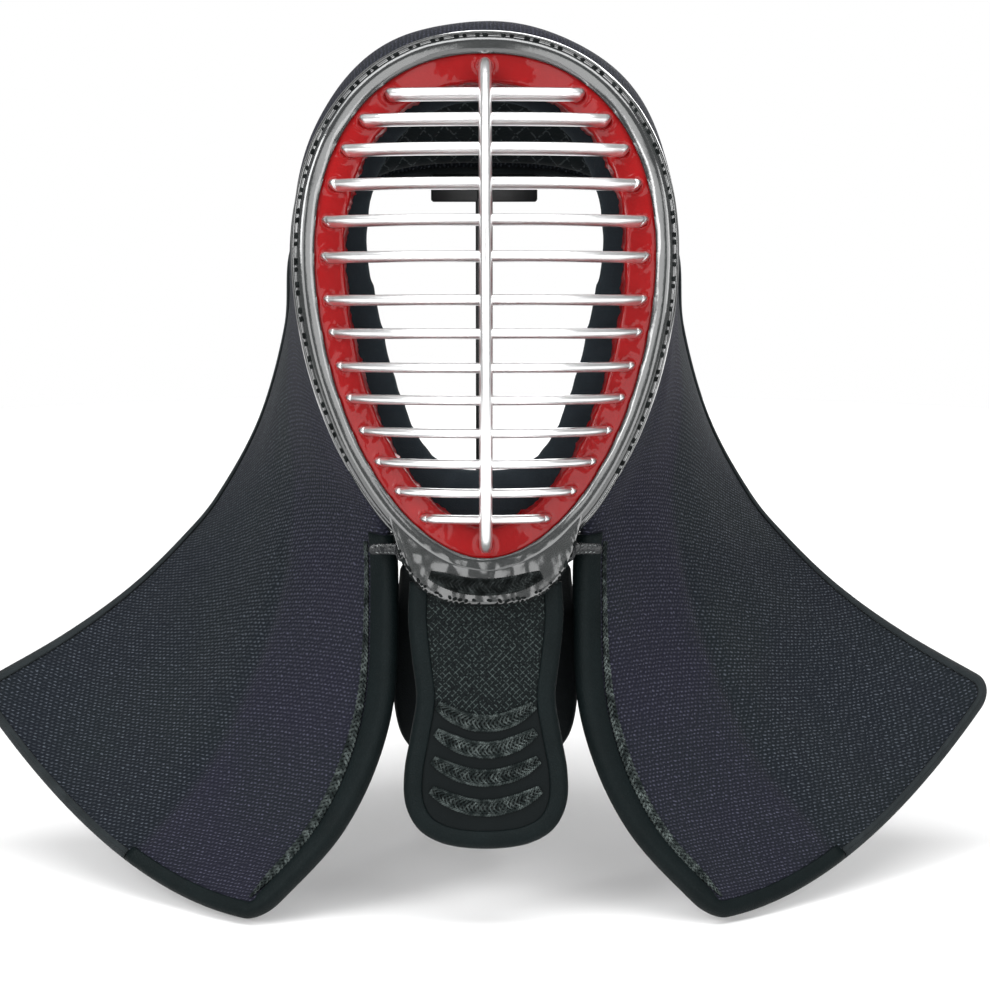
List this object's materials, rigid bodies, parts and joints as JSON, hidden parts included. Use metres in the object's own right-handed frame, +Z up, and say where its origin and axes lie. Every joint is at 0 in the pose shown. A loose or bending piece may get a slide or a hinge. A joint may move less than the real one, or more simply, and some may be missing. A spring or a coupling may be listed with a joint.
{
  "type": "kendo helmet on a display stand",
  "caption": "Kendo face guard with a bar grille in red and black lacquered rims, quilted cloth wings and a throat flap, leaning on a plain T-shaped display stand.",
  "frame": {"origin": "centre of the bounding box at floor level, where the wing corners and the stand's base rest", "axes": "+X to the right as seen by someone who faces the grille, +Y from the grille to the back, +Z up"},
  "size_m": [0.5266, 0.276, 0.4335],
  "materials": {
    "bar_metal": "polished oval aluminium alloy bars",
    "red_lacquer": "red lacquer over rawhide, glossy, with small creases",
    "black_lacquer": "black lacquer over rawhide, very glossy",
    "indigo_cotton": "indigo-dyed machine-stitched cotton with a fine grain",
    "edge_leather": "matte black leather",
    "edge_tape": "dark cotton tape",
    "braid": "flat braided black cord",
    "lining_cotton": "dark cotton, quilted in diamonds",
    "pad_cotton": "dark brushed cotton pad",
    "flap_leather": "matte black leather, quilted in diamonds",
    "patent_leather": "glossy black patent leather",
    "stand_paint": "plain satin black paint"
  },
  "bodies": {
    "root": {"grille": "bar_metal", "red_rim": "red_lacquer", "black_rim": "black_lacquer", "quilted_cloth": "indigo_cotton", "leather_binding_right": "edge_leather", "leather_binding_left": "edge_leather", "edge_tape": "edge_tape", "edge_braid_right": "braid", "edge_braid_left": "braid", "crown_lining": "lining_cotton", "face_pad": "pad_cotton", "throat_flap": "flap_leather", "throat_flap_border": "edge_leather", "inner_throat_flap": "flap_leather", "chin_tab_right": "patent_leather", "chin_tab_left": "patent_leather", "throat_braid_top": "braid", "throat_braid_1": "braid", "throat_braid_2": "braid", "throat_braid_3": "braid", "throat_braid_4": "braid", "stand": "stand_paint"}
  },
  "joints": []
}
